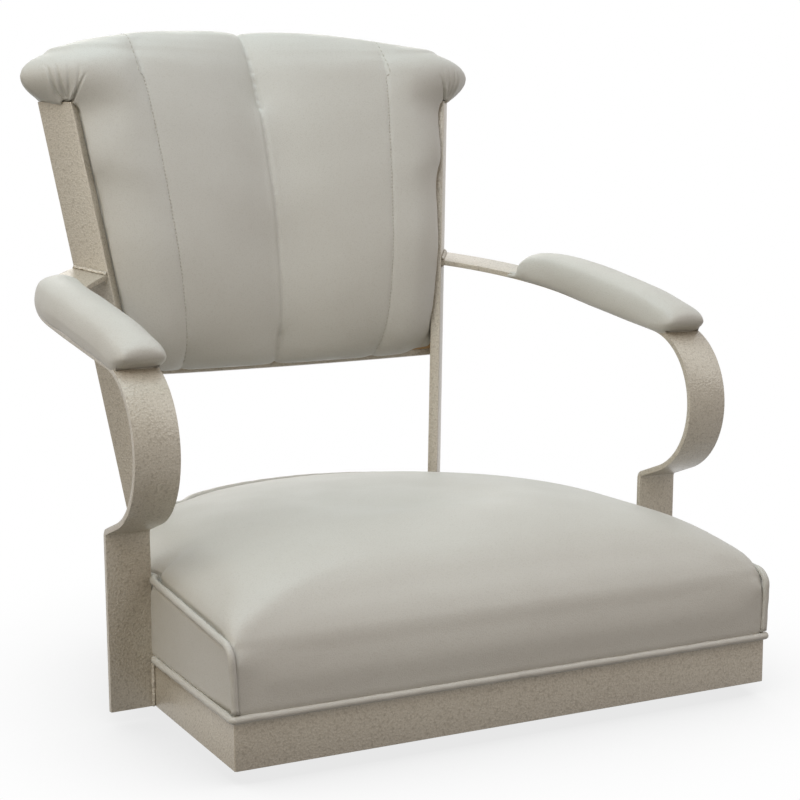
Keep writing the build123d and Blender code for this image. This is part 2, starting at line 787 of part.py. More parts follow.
def back_section(height, width, seam_x, centre, seam, edge, rear):
    z = back_base + back_height * height
    x_seam = back_half_width * seam_x
    x_edge = back_half_width * width
    y_centre = back_depth * centre
    y_seam = back_depth * seam
    y_edge = back_depth * edge
    y_rear = back_depth * rear
    inner_chord = math.hypot(x_seam, y_centre - y_seam)
    inner_bulge = panel_bulge_share * inner_chord
    lean = Vector(y_centre - y_seam, x_seam).normalized()
    inner_mid = (x_seam / 2 - lean.X * inner_bulge, (y_centre + y_seam) / 2 - lean.Y * inner_bulge)
    outer_chord = Vector(x_edge - x_seam, y_edge - y_seam)
    outer_mid = (
        x_seam + outer_chord.X / 2 + outer_chord.Y * edge_bulge_share,
        y_seam + outer_chord.Y / 2 - outer_chord.X * edge_bulge_share,
    )
    rear_x = x_edge * (1 - edge_rear_share)
    rear_y = y_edge + (y_rear - y_edge) * (1 - edge_rear_share)
    side_mid = (x_edge - x_edge * edge_rear_share / 4, y_edge + (rear_y - y_edge) * side_depth_share)
    inner = ThreePointArc((0, y_centre), inner_mid, (x_seam, y_seam))
    outer = ThreePointArc((x_seam, y_seam), outer_mid, (x_edge, y_edge))
    side = ThreePointArc((x_edge, y_edge), side_mid, (rear_x, rear_y))
    right = inner + outer + side
    left = mirror(right, about=Plane.YZ)
    back = ThreePointArc((rear_x, rear_y), (0, y_rear), (-rear_x, rear_y))
    return back_frame() * Pos(0, 0, z) * make_face(right + back + left)


def back_cushion():
    sections = [back_section(*shares) for shares in back_section_shares]
    body = loft(sections[: 1 - back_cap_section_count])
    cap = loft(sections[-back_cap_section_count:], ruled=True)
    cushion = body + cap
    behind = Box(4 * half_width, 2 * back_curve_radius, roll_underside)
    behind = Pos(0, back_curve_radius, roll_underside / 2) * behind
    drum = Cylinder(back_curve_radius - soft_gap, 4 * reach)
    behind = behind - Pos(0, back_board_depth - back_curve_radius, 0) * drum
    cushion = cushion - back_frame() * behind - back_board_shell(soft_gap)
    for upright in both_sides(upright_stock(soft_gap)):
        cushion = cushion - upright
    return largest(cushion)


def rail_screws(radius, head_radius, proud=0.0):
    """Countersunk screws through the rails into the back board, with heads lengthened outwards."""
    screws = []
    outer = back_curve_radius + back_board_thickness + rail_thickness
    angle = math.degrees(math.asin(rail_screw_x / outer))
    length = rail_thickness + rail_screw_bite
    for low in (lower_rail_height, upper_rail_height):
        centre = Pos(0, back_board_depth - back_curve_radius, low + rail_width / 2)
        place = centre * Rot(0, 0, -angle) * Pos(0, outer - seat_gap, 0)
        screw = Pos(0, 0, length / 2) * Cylinder(radius, length)
        screw = screw + Pos(0, 0, rail_thickness / 4) * Cone(head_radius, radius, rail_thickness / 2)
        if proud:
            screw = screw + Pos(0, 0, -proud / 2) * Cylinder(head_radius, proud)
        screws += both_sides(back_frame() * place * Rot(quarter_turn, 0, 0) * screw)
    return screws


def make_swivel():
    bolts, nuts = swivel_fasteners()
    write("swivel_lower_plate", lower_swivel_plate())
    write("swivel_upper_plate", upper_swivel_plate())
    write("swivel_balls", *swivel_ball_set())
    write("swivel_ball_cage", swivel_cage())
    write("swivel_rivet", swivel_centre_rivet())
    write("swivel_thrust_washer", swivel_washer())
    write("swivel_bolts", *bolts)
    write("swivel_nuts", *nuts)


def make_frame():
    front_bar, hoop = apron_bars()
    upright = upright_bar()
    bar, pad, core, screws = arm_pieces()
    bar_welds = arm_welds(bar, upright)
    foot_welds = upright_weld_beads(upright)
    write_seat("apron_front_bar", front_bar)
    write_seat("apron_hoop", hoop)
    write_seat("crossbar_front", crossbar(-1))
    write_seat("crossbar_rear", crossbar(1))
    for index, side in enumerate(("right", "left")):
        write_seat(f"{side}_upright", both_sides(upright)[index])
        write_seat(f"{side}_arm_bar", both_sides(bar)[index])
        write_seat(f"{side}_arm_pad", both_sides(pad)[index])
        write_seat(f"{side}_arm_pad_core", both_sides(core)[index])
        write_seat(f"{side}_arm_welds", *[both_sides(bead)[index] for bead in bar_welds])
    write_seat("upright_welds", *[side for bead in foot_welds for side in both_sides(bead)])
    write_seat("arm_pad_screws", *[side for screw in screws for side in both_sides(screw)])


def make_seat():
    board = seat_board()
    for y in (tab_front_y, tab_rear_y):
        for hole in both_sides(seat_screw(y, tab_screw_radius, tab_screw_radius)):
            board = board - hole
    write_seat("seat_mount_tabs", *seat_tabs())
    write_seat("seat_board_screws", *seat_screws())
    write_seat("seat_board", board)
    write_seat("seat_dust_cover", dust_cover())
    write_seat("seat_cushion", seat_cushion())
    write_seat("seat_base_welt", seat_base_welt())
    write_seat("seat_top_welt", seat_top_welt())


def make_back():
    lower_rail = back_rail(lower_rail_height)
    upper_rail = back_rail(upper_rail_height)
    board = back_board_shell()
    holes = rail_screws(rail_screw_radius + seat_gap, rail_screw_head_radius + seat_gap, overrun)
    lower_rail = lower_rail - holes
    upper_rail = upper_rail - holes
    board = board - holes
    write_seat("back_lower_rail", lower_rail)
    write_seat("back_upper_rail", upper_rail)
    write_seat("back_board", board)
    write_seat("back_board_screws", *rail_screws(rail_screw_radius, rail_screw_head_radius))
    write_seat("back_outer_panel", outer_panel())
    write_seat("back_cushion", back_cushion())


os.makedirs("parts", exist_ok=True)
make_swivel()
make_frame()
make_seat()
make_back()
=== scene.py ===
import json
import math

import bmesh
import bpy
import numpy as np
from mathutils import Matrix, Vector, noise
from mathutils.bvhtree import BVHTree

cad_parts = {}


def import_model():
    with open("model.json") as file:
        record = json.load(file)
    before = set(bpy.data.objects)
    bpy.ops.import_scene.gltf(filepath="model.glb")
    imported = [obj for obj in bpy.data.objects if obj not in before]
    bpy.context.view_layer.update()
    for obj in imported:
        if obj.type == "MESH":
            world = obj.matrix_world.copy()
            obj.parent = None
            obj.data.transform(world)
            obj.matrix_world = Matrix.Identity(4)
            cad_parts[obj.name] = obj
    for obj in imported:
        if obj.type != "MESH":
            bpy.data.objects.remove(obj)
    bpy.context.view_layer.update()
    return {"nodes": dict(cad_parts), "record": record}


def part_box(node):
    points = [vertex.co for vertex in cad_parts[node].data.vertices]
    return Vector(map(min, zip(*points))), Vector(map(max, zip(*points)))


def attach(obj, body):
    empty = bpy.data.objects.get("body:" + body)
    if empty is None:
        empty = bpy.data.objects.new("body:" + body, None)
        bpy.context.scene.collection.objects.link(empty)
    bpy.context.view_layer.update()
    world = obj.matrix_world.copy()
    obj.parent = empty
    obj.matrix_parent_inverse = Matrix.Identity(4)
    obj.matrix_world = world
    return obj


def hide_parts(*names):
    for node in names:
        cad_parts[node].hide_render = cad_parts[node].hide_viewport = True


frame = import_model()

# Looks of the swivel counter stool's seat head. Metres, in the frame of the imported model.
# Seat coordinates: y from the front bar's face, z from the apron's lower edge.

mm = 0.001

# Places read from the frame
seat_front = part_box("apron_front_bar")[0].y
seat_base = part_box("apron_hoop")[0].z
bar_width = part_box("apron_hoop")[1].z - seat_base
half_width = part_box("apron_front_bar")[1].x
seat_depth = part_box("apron_hoop")[1].y - seat_front
arm_plate_y = 184.4 * mm
bar_thickness = 4.76 * mm

# Seat outline
taper = math.radians(1.9)
hoop_centre_y = (seat_depth - half_width * math.cos(taper)) / (1 - math.sin(taper))
hoop_radius = seat_depth - hoop_centre_y
upright_turn = math.radians(34)
seam_height = 96 * mm
seam_tilt = math.radians(4)

# Piping
welt_radius = 3 * mm
welt_out = 1.8 * mm
base_welt_height = 40.87 * mm
base_welt_corner = 3.2 * mm
top_welt_corner = 13 * mm
top_welt_corner_y = 0.6 * mm
welt_step = 3 * mm
welt_sides = 14
welt_push = 5 * mm
plate_reach = 5 * mm
upright_reach = 14 * mm

# Back, in a plane that leans with the uprights
back_lean = math.radians(11.72)
back_foot_y = 382.1 * mm
back_half_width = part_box("back_cushion")[1].x
back_low = 247 * mm
back_height = 338.5 * mm
roll_depth = 62 * mm
roll_height = 531 * mm
seam_shares = (
    (0.00, 0.430),
    (0.14, 0.452),
    (0.40, 0.484),
    (0.68, 0.518),
    (0.84, 0.540),
    (1.00, 0.560),
)
upright_top_height = 503 * mm
upright_face_depth = 2.5 * mm
back_board_thickness = 9.5 * mm
board_cover = 1.0 * mm
board_reach = 196 * mm
board_drawn = 0.5
gather_width = 200 * mm
gather_height = 502 * mm
gather_depth = 8 * mm
stitch_pitch = 3.5 * mm
stitch_turn = 0.09

# Each crease: width and height of its end, bow and depth
crease_ends = (
    (220, 537, 5.0, 1.0),
    (213, 537, 3.2, 0.9),
    (203, 539, 2.0, 0.45),
    (194, 536, -1.0, 0.45),
    (189, 528, 1.0, 0.8),
    (228, 514, 2.0, 0.9),
)

# How the seat's front face swells towards its foot, and how its corner piping leans in
front_slope = 2.5
leg_lean = 2.8 * mm
leg_forward = 0.8 * mm

# How much smaller the swivel's balls are made, along their normals
ball_slack = 0.12 * mm

# Gap between an arm pad's front end and its bar
mouth_height = 3.6 * mm
mouth_depth = 7 * mm

# How far the roll's top has settled at some places across it
roll_settling = (
    (-235, 3.0),
    (-200, 0.0),
    (-75, -2.0),
    (0, 1.0),
    (60, -2.0),
    (115, -5.0),
    (165, -4.5),
    (200, 0.0),
    (235, 3.0),
)


def make_object(name, mesh):
    obj = bpy.data.objects.new(name, mesh)
    bpy.context.scene.collection.objects.link(obj)
    return obj


def seat_point(x, y, z):
    return Vector((x, y + seat_front, z + seat_base))


def coordinates(mesh):
    points = np.zeros(len(mesh.vertices) * 3, np.float32)
    mesh.vertices.foreach_get("co", points)
    return points.reshape(-1, 3).astype(float)


def set_coordinates(mesh, points):
    mesh.vertices.foreach_set("co", points.astype(np.float32).ravel())
    mesh.update()


def normals(mesh):
    values = np.zeros(len(mesh.vertices) * 3, np.float32)
    mesh.vertex_normals.foreach_get("vector", values)
    return values.reshape(-1, 3).astype(float)


def bell(distance, width):
    return np.exp(-((distance / width) ** 2))


def smoothed_noise(points, scale, seed):
    shift = Vector((seed * 13.1, seed * 7.7, seed * 3.3))
    return np.array([noise.noise(Vector(point) * scale + shift) for point in points])


# Meshes taken from the frame's nodes
def welded_copy(node, name):
    mesh = frame["nodes"][node].data.copy()
    mesh.materials.clear()
    grid = bmesh.new()
    grid.from_mesh(mesh)
    bmesh.ops.remove_doubles(grid, verts=grid.verts, dist=5e-6)
    grid.to_mesh(mesh)
    grid.free()
    return make_object(name, mesh)


def apply_modifiers(obj):
    graph = bpy.context.evaluated_depsgraph_get()
    mesh = bpy.data.meshes.new_from_object(obj.evaluated_get(graph))
    obj.modifiers.clear()
    obj.data = mesh


def smooth_shade(obj):
    obj.data.polygons.foreach_set("use_smooth", [True] * len(obj.data.polygons))
    obj.data.update()


def closed_piece(name, vertices, faces):
    """An object of closed surfaces, with their faces turned outwards."""
    mesh = bpy.data.meshes.new(name)
    mesh.from_pydata(vertices, [], faces)
    grid = bmesh.new()
    grid.from_mesh(mesh)
    bmesh.ops.recalc_face_normals(grid, faces=grid.faces)
    grid.to_mesh(mesh)
    grid.free()
    obj = make_object(name, mesh)
    smooth_shade(obj)
    return obj


def finish_piece(obj, material, slot, *nodes, fill=None):
    """Gives a piece on the seat its material, puts it on the seat and hides the nodes it stands for."""
    obj.data.materials.clear()
    obj.data.materials.append(material)
    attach(obj, "seat")
    if nodes:
        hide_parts(*nodes)
    return obj


def surface_of(mesh):
    corners = [vertex.co for vertex in mesh.vertices]
    return BVHTree.FromPolygons(corners, [tuple(face.vertices) for face in mesh.polygons])


def cut_off(grid, place, normal):
    """Removes what lies on the normal's side of a plane, and closes the cut."""
    parts = [*grid.verts, *grid.edges, *grid.faces]
    bmesh.ops.bisect_plane(grid, geom=parts, plane_co=place, plane_no=normal, clear_outer=True)
    bmesh.ops.holes_fill(grid, edges=[edge for edge in grid.edges if edge.is_boundary], sides=0)


def padded_skin(node, name, voxel, rounds, inner, kept=None, evening=2):
    """A soft piece's skin: its form with the boards inside it, remeshed evenly and eased."""
    grid = bmesh.new()
    for piece in inner:
        part = bmesh.new()
        part.from_mesh(frame["nodes"][piece].data)
        bmesh.ops.remove_doubles(part, verts=part.verts, dist=5e-6)
        if kept is not None:
            front, rear, low = kept
            cut_off(part, (0, front, 0), (0, -1, 0))
            cut_off(part, (0, rear, 0), (0, 1, 0))
            cut_off(part, (0, 0, low), (0, 0, -1))
        mesh = bpy.data.meshes.new("inner")
        part.to_mesh(mesh)
        part.free()
        grid.from_mesh(mesh)
    grid.from_mesh(frame["nodes"][node].data)
    mesh = bpy.data.meshes.new(name)
    grid.to_mesh(mesh)
    grid.free()
    surface = surface_of(mesh)
    obj = make_object(name, mesh)
    remesh = obj.modifiers.new("remesh", "REMESH")
    remesh.mode = "VOXEL"
    remesh.voxel_size = voxel
    ease = obj.modifiers.new("ease", "SMOOTH")
    ease.factor = 0.5
    ease.iterations = rounds
    apply_modifiers(obj)
    pull_back(obj, surface, rounds=evening)
    return obj


def edge_pairs(mesh):
    edges = np.zeros(len(mesh.edges) * 2, np.int32)
    mesh.edges.foreach_get("vertices", edges)
    return edges.reshape(-1, 2)


def averaged(values, edges, rounds):
    """Values per vertex, evened out between neighbours."""
    degree = np.maximum(np.bincount(edges.ravel(), minlength=len(values)), 1)
    for _ in range(rounds):
        total = np.bincount(edges[:, 0], values[edges[:, 1]], len(values))
        total += np.bincount(edges[:, 1], values[edges[:, 0]], len(values))
        values = 0.5 * values + 0.5 * total / degree
    return values


def pull_back(obj, surface, passes=2, rounds=2, most=6 * mm):
    """Puts back what the smoothing drew in, evened between neighbours."""
    edges = edge_pairs(obj.data)
    for _ in range(passes):
        points = coordinates(obj.data)
        outward = normals(obj.data)
        lift = np.zeros(len(points))
        for index, point in enumerate(points):
            found = surface.find_nearest(Vector(point), most)
            if found[0] is not None:
                lift[index] = (found[0] - Vector(point)).dot(Vector(outward[index]))
        lift = averaged(lift, edges, rounds)
        set_coordinates(obj.data, points + outward * lift[:, None])


def open_to(obj, node, direction, thickness, rings):
    """Lets a board or bar into the skin from its open side, inside a rim that wraps its edges."""
    surface = surface_of(frame["nodes"][node].data)
    points = coordinates(obj.data)
    direction = np.array(direction)
    facing = normals(obj.data) @ direction > 0.6
    edges = edge_pairs(obj.data)
    for _ in range(rings):
        apart = edges[facing[edges[:, 0]] != facing[edges[:, 1]]]
        facing[apart.ravel()] = False
    for index in np.nonzero(facing)[0]:
        found, normal, _, _ = surface.find_nearest(Vector(points[index]), 3 * mm)
        if found is not None and normal.dot(Vector(direction)) > 0.7:
            points[index] = np.array(found - normal * (thickness + 0.8 * mm))
    set_coordinates(obj.data, points)


def relax(obj, share, rounds):
    """Smooths the skin where share is above zero."""
    edges = edge_pairs(obj.data)
    points = coordinates(obj.data)
    for axis in range(3):
        values = points[:, axis]
        even = values.copy()
        for _ in range(rounds):
            even = even + share * (averaged(even, edges, 1) - even)
        points[:, axis] = even
    set_coordinates(obj.data, points)


def inflate(obj, pressure, cap, held=None):
    """Lets the skin swell under air pressure as cloth, then keeps what the cap allows."""
    rest = coordinates(obj.data)
    scene = bpy.context.scene
    cloth = obj.modifiers.new("cloth", "CLOTH")
    cloth.settings.quality = 5
    cloth.settings.mass = 0.3
    cloth.settings.tension_stiffness = 15
    cloth.settings.compression_stiffness = 15
    cloth.settings.bending_stiffness = 2
    cloth.settings.use_pressure = True
    cloth.settings.uniform_pressure_force = pressure
    cloth.settings.effector_weights.gravity = 0
    cloth.point_cache.frame_start = 1
    cloth.point_cache.frame_end = 20
    if held is not None:
        group = obj.vertex_groups.new(name="held")
        group.add([int(index) for index in np.nonzero(held)[0]], 1.0, "REPLACE")
        cloth.settings.vertex_group_mass = "held"
    for step in range(1, 21):
        scene.frame_set(step)
    apply_modifiers(obj)
    scene.frame_set(1)
    moved = coordinates(obj.data) - rest
    edges = edge_pairs(obj.data)
    moved = np.stack([averaged(moved[:, axis], edges, 40) for axis in range(3)], axis=1)
    length = np.linalg.norm(moved, axis=1)[:, None]
    share = np.minimum(1, cap / np.maximum(length, 1e-9))
    set_coordinates(obj.data, rest + moved * share)


def subdivide(obj):
    finer = obj.modifiers.new("finer", "SUBSURF")
    finer.levels = 1
    finer.render_levels = 1
    apply_modifiers(obj)


# Materials
def node_tree(name):
    material = bpy.data.materials.new(name)
    material.use_nodes = True
    tree = material.node_tree
    return material, tree, tree.nodes["Principled BSDF"]


def add(tree, kind, inputs=None, **settings):
    made = tree.nodes.new(kind)
    for key, value in settings.items():
        setattr(made, key, value)
    for key, value in (inputs or {}).items():
        if isinstance(value, bpy.types.NodeSocket):
            tree.links.new(value, made.inputs[key])
        else:
            made.inputs[key].default_value = value
    return made


def noise_at(tree, place, scale, detail=3.0, roughness=0.55):
    inputs = {"Vector": place, "Scale": scale, "Detail": detail, "Roughness": roughness}
    return add(tree, "ShaderNodeTexNoise", inputs).outputs["Fac"]


def cells_at(tree, place, scale, smoothness=0.6):
    inputs = {"Vector": place, "Scale": scale, "Smoothness": smoothness, "Randomness": 1.0}
    return add(tree, "ShaderNodeTexVoronoi", inputs, feature="SMOOTH_F1").outputs["Distance"]


def ranged(tree, value, low, high, from_low=0.3, from_high=0.7):
    inputs = {"Value": value, "From Min": from_low, "From Max": from_high, "To Min": low, "To Max": high}
    return add(tree, "ShaderNodeMapRange", inputs).outputs["Result"]


def blend_colours(tree, share, first, second):
    mixed = add(tree, "ShaderNodeMix", data_type="RGBA")
    tree.links.new(share, mixed.inputs["Factor"])
    for key, colour in (("A", first), ("B", second)):
        socket = [s for s in mixed.inputs if s.name == key and s.type == "RGBA"][0]
        if isinstance(colour, bpy.types.NodeSocket):
            tree.links.new(colour, socket)
        else:
            socket.default_value = (*colour, 1)
    return [s for s in mixed.outputs if s.type == "RGBA"][0]


def bump(tree, height, distance, strength=1.0, below=None):
    inputs = {"Height": height, "Distance": distance, "Strength": strength}
    if below is not None:
        inputs["Normal"] = below
    return add(tree, "ShaderNodeBump", inputs).outputs["Normal"]


def object_place(tree):
    return add(tree, "ShaderNodeTexCoord").outputs["Object"]


def srgb(red, green, blue):
    def linear(channel):
        share = channel / 255
        return share / 12.92 if channel <= 10 else ((share + 0.055) / 1.055) ** 2.4

    return tuple(linear(channel) for channel in (red, green, blue))


def vinyl_material():
    material, tree, shader = node_tree("vinyl")
    place = object_place(tree)
    pebble = cells_at(tree, place, 950)
    fine = noise_at(tree, place, 2600)
    cloud = noise_at(tree, place, 7, 4)
    broad = noise_at(tree, place, 26, 2)
    tone = blend_colours(tree, ranged(tree, cloud, 0, 1), srgb(205, 204, 196), srgb(200, 198, 190))
    # Painted shade in the pebble grain: the colour darkens towards the borders of the grain's cells.
    painted_grain_shade = blend_colours(tree, ranged(tree, pebble, 0.0, 0.22, 0.45, 0.85), tone, srgb(172, 167, 154))
    tree.links.new(painted_grain_shade, shader.inputs["Base Color"])
    tree.links.new(ranged(tree, broad, 0.44, 0.54), shader.inputs["Roughness"])
    shader.inputs["Specular IOR Level"].default_value = 0.42
    shader.inputs["Coat Weight"].default_value = 0.05
    shader.inputs["Coat Roughness"].default_value = 0.35
    first = bump(tree, broad, 0.0012, 0.5)
    second = bump(tree, pebble, 0.00022, 0.55, first)
    third = bump(tree, fine, 0.00008, 0.5, second)
    tree.links.new(third, shader.inputs["Normal"])
    return material


def thread_material():
    material, tree, shader = node_tree("thread")
    place = object_place(tree)
    twist = add(tree, "ShaderNodeTexWave", {"Vector": place, "Scale": 900, "Distortion": 2.0})
    tone = blend_colours(tree, twist.outputs["Fac"], srgb(176, 172, 160), srgb(202, 199, 188))
    tree.links.new(tone, shader.inputs["Base Color"])
    tree.links.new(ranged(tree, noise_at(tree, place, 300), 0.6, 0.8), shader.inputs["Roughness"])
    tree.links.new(bump(tree, twist.outputs["Fac"], 0.0001, 0.5), shader.inputs["Normal"])
    return material


def paint_material(name, light, dark, high, low, bumps):
    """Hammered paint: flecks and rounded pits under a gloss. Made with lighter colours and shallower pits,
    it serves for the bevelled edges, where the lighter colour is painted highlight.
    """
    material, tree, shader = node_tree(name)
    place = object_place(tree)
    hammered = cells_at(tree, place, 560, 0.8)
    speckle = noise_at(tree, place, 900, 2, 0.6)
    cloud = noise_at(tree, place, 11, 3)
    dull = blend_colours(tree, ranged(tree, cloud, 0, 1), light, dark)
    flecks = blend_colours(tree, ranged(tree, speckle, 0, 0.5, 0.42, 0.62), dull, high)
    pits = blend_colours(tree, ranged(tree, hammered, 0, 0.4, 0.5, 0.8), flecks, low)
    tree.links.new(pits, shader.inputs["Base Color"])
    tree.links.new(ranged(tree, speckle, 0.26, 0.4), shader.inputs["Roughness"])
    shader.inputs["Metallic"].default_value = 0.12
    shader.inputs["Specular IOR Level"].default_value = 0.4
    shader.inputs["Coat Weight"].default_value = 0.2
    shader.inputs["Coat Roughness"].default_value = 0.25
    first = bump(tree, hammered, bumps, 0.9)
    second = bump(tree, speckle, 0.00015, 0.5, first)
    tree.links.new(second, shader.inputs["Normal"])
    return material


def wood_material():
    material, tree, shader = node_tree("plywood")
    place = object_place(tree)
    stretched = add(tree, "ShaderNodeMapping", {"Vector": place, "Scale": (26, 2.4, 120)}).outputs["Vector"]
    grain = noise_at(tree, stretched, 9, 8, 0.65)
    fibre = noise_at(tree, stretched, 60, 4, 0.6)
    tone = blend_colours(tree, ranged(tree, grain, 0, 1), srgb(206, 176, 132), srgb(168, 128, 84))
    tone = blend_colours(tree, ranged(tree, fibre, 0, 0.35), tone, srgb(132, 98, 62))
    tree.links.new(tone, shader.inputs["Base Color"])
    tree.links.new(ranged(tree, fibre, 0.6, 0.78), shader.inputs["Roughness"])
    tree.links.new(bump(tree, fibre, 0.0002, 0.4), shader.inputs["Normal"])
    return material


def steel_material(name, bright, dark, streak, roughness):
    material, tree, shader = node_tree(name)
    place = object_place(tree)
    stretched = add(tree, "ShaderNodeMapping", {"Vector": place, "Scale": streak}).outputs["Vector"]
    brushed = noise_at(tree, stretched, 60, 5, 0.6)
    spots = noise_at(tree, place, 90, 5, 0.65)
    tone = blend_colours(tree, ranged(tree, spots, 0, 1), bright, dark)
    tree.links.new(tone, shader.inputs["Base Color"])
    tree.links.new(ranged(tree, brushed, roughness, roughness + 0.16), shader.inputs["Roughness"])
    shader.inputs["Metallic"].default_value = 1.0
    tree.links.new(bump(tree, brushed, 0.00006, 0.35), shader.inputs["Normal"])
    return material


def nylon_material():
    material, tree, shader = node_tree("washer_nylon")
    place = object_place(tree)
    cloud = noise_at(tree, place, 120, 4)
    tone = blend_colours(tree, ranged(tree, cloud, 0, 1), srgb(232, 230, 220), srgb(218, 214, 200))
    tree.links.new(tone, shader.inputs["Base Color"])
    tree.links.new(ranged(tree, cloud, 0.4, 0.5), shader.inputs["Roughness"])
    tree.links.new(bump(tree, noise_at(tree, place, 700), 0.00005, 0.3), shader.inputs["Normal"])
    return material


def cloth_material():
    material, tree, shader = node_tree("dust_cloth")
    place = object_place(tree)
    felt = noise_at(tree, place, 900, 6, 0.7)
    dots = cells_at(tree, place, 420, 0.2)
    tone = blend_colours(tree, ranged(tree, felt, 0, 1), srgb(26, 26, 27), srgb(52, 52, 54))
    tree.links.new(tone, shader.inputs["Base Color"])
    tree.links.new(ranged(tree, felt, 0.82, 0.95), shader.inputs["Roughness"])
    first = bump(tree, dots, 0.0003, 0.6)
    tree.links.new(bump(tree, felt, 0.0002, 0.5, first), shader.inputs["Normal"])
    return material


vinyl = vinyl_material()
thread = thread_material()
paint = paint_material(
    "frame_paint",
    srgb(192, 185, 169),
    srgb(185, 177, 161),
    srgb(214, 208, 195),
    srgb(136, 127, 110),
    0.0004,
)
# Lighter copy of the paint for the bevels' faces: painted highlight along the frame's edges.
paint_edge_highlight = paint_material(
    "frame_paint_edge_highlight",
    srgb(202, 194, 178),
    srgb(194, 186, 169),
    srgb(218, 211, 198),
    srgb(160, 150, 132),
    0.0002,
)
wood = wood_material()
swivel_steel = steel_material("swivel_steel", srgb(196, 196, 198), srgb(166, 166, 170), (3, 60, 3), 0.3)
fastener_steel = steel_material("fastener_steel", srgb(212, 210, 204), srgb(186, 182, 172), (8, 8, 8), 0.26)
nylon = nylon_material()
dust_cloth = cloth_material()


# Frame
def bevelled(node, name, width, material, segments=2, edge=None):
    """A rigid piece with its sharp edges eased, standing for its node."""
    obj = welded_copy(node, name)
    grid = bmesh.new()
    grid.from_mesh(obj.data)
    flat = math.radians(0.6)
    bmesh.ops.dissolve_limit(grid, angle_limit=flat, verts=grid.verts, edges=grid.edges)
    grid.to_mesh(obj.data)
    grid.free()
    ease = obj.modifiers.new("ease", "BEVEL")
    ease.width = width
    ease.segments = segments
    ease.limit_method = "ANGLE"
    ease.angle_limit = math.radians(38)
    ease.use_clamp_overlap = True
    ease.harden_normals = True
    obj.data.materials.append(material)
    # The bevel's own faces take the edge material, the lighter paint that is painted highlight.
    if edge is not None:
        obj.data.materials.append(edge)
        ease.material = 1
    smooth_shade(obj)
    apply_modifiers(obj)
    body = "swivel_base" if node in base_nodes else "seat"
    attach(obj, body)
    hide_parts(node)
    return obj


record = frame["record"]
base_nodes = record["behaviour"]["bodies"]["swivel_base"]

painted = (
    "apron_front_bar",
    "apron_hoop",
    "crossbar_front",
    "crossbar_rear",
    "seat_mount_tabs",
    "left_upright",
    "right_upright",
    "left_arm_bar",
    "right_arm_bar",
    "back_lower_rail",
    "back_upper_rail",
)
for node in painted:
    bevelled(node, "painted_" + node, 0.8 * mm, paint, 3, paint_edge_highlight)


def weld_bead(node):
    """A bead with the ripples and spatter that a hand-laid weld has under paint."""
    obj = welded_copy(node, "bead_" + node)
    remesh = obj.modifiers.new("remesh", "REMESH")
    remesh.mode = "VOXEL"
    remesh.voxel_size = 0.7 * mm
    ease = obj.modifiers.new("ease", "SMOOTH")
    ease.factor = 0.5
    ease.iterations = 8
    apply_modifiers(obj)
    points = coordinates(obj.data)
    ripple = smoothed_noise(points, 330, 1) * 0.5 + smoothed_noise(points, 900, 2) * 0.2
    set_coordinates(obj.data, points + normals(obj.data) * (ripple * mm)[:, None])
    smooth_shade(obj)
    finish_piece(obj, paint, "frame_paint", node)


for node in ("left_arm_welds", "right_arm_welds", "upright_welds"):
    weld_bead(node)

hardware = (
    ("swivel_lower_plate", 0.5, swivel_steel, "swivel_steel"),
    ("swivel_upper_plate", 0.5, swivel_steel, "swivel_steel"),
    ("swivel_ball_cage", 0.2, swivel_steel, "swivel_steel"),
    ("swivel_rivet", 0.4, swivel_steel, "swivel_steel"),
    ("swivel_bolts", 0.4, fastener_steel, "fastener_steel"),
    ("swivel_nuts", 0.4, fastener_steel, "fastener_steel"),
    ("arm_pad_screws", 0.3, fastener_steel, "fastener_steel"),
    ("seat_board_screws", 0.3, fastener_steel, "fastener_steel"),
    ("back_board_screws", 0.2, fastener_steel, "fastener_steel"),
    ("swivel_thrust_washer", 0.2, nylon, "washer_nylon"),
    ("seat_board", 1.0, wood, "plywood"),
    ("back_board", 4.0, wood, "plywood"),
    ("left_arm_pad_core", 0.8, wood, "plywood"),
    ("right_arm_pad_core", 0.8, wood, "plywood"),
    ("seat_dust_cover", 0.2, dust_cloth, "dust_cloth"),
    ("back_outer_panel", 2.0, vinyl, "vinyl"),
)
for node, width, material, slot in hardware:
    bevelled(node, "dressed_" + node, width * mm, material)


def draw_in(obj, reach, share):
    """Draws in a hidden board's ends, where the gathered skin is tight over them."""
    points = coordinates(obj.data)
    beyond = np.clip(np.abs(points[:, 0]) - reach, 0, None)
    points[:, 0] -= np.sign(points[:, 0]) * beyond * share
    set_coordinates(obj.data, points)


draw_in(bpy.data.objects["dressed_back_board"], board_reach, board_drawn)


def bearing_balls():
    """The balls, smaller by a hair, so that the raceway's facets clear them at any turn."""
    obj = welded_copy("swivel_balls", "bearing_balls")
    set_coordinates(obj.data, coordinates(obj.data) - normals(obj.data) * ball_slack)
    smooth_shade(obj)
    obj.data.materials.append(swivel_steel)
    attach(obj, "swivel_base")
    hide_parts("swivel_balls")


bearing_balls()


# Piping
def seat_side(y, out):
    return half_width + out / math.cos(taper) - y * math.tan(taper)


def seat_half_outline(out, start_y):
    """Right side and half of the rear arc, from the front corner to the rear middle."""
    radius = hoop_radius + out
    end_y = hoop_centre_y + radius * math.sin(taper)
    straight = max(2, round((end_y - start_y) / welt_step))
    side = [(seat_side(y, out), y) for y in np.linspace(start_y, end_y, straight, endpoint=False)]
    sweep = math.pi / 2 - taper
    count = round(radius * sweep / welt_step)
    arc = []
    for angle in np.linspace(taper, math.pi / 2, count):
        arc.append((radius * math.cos(angle), hoop_centre_y + radius * math.sin(angle)))
    return side + arc


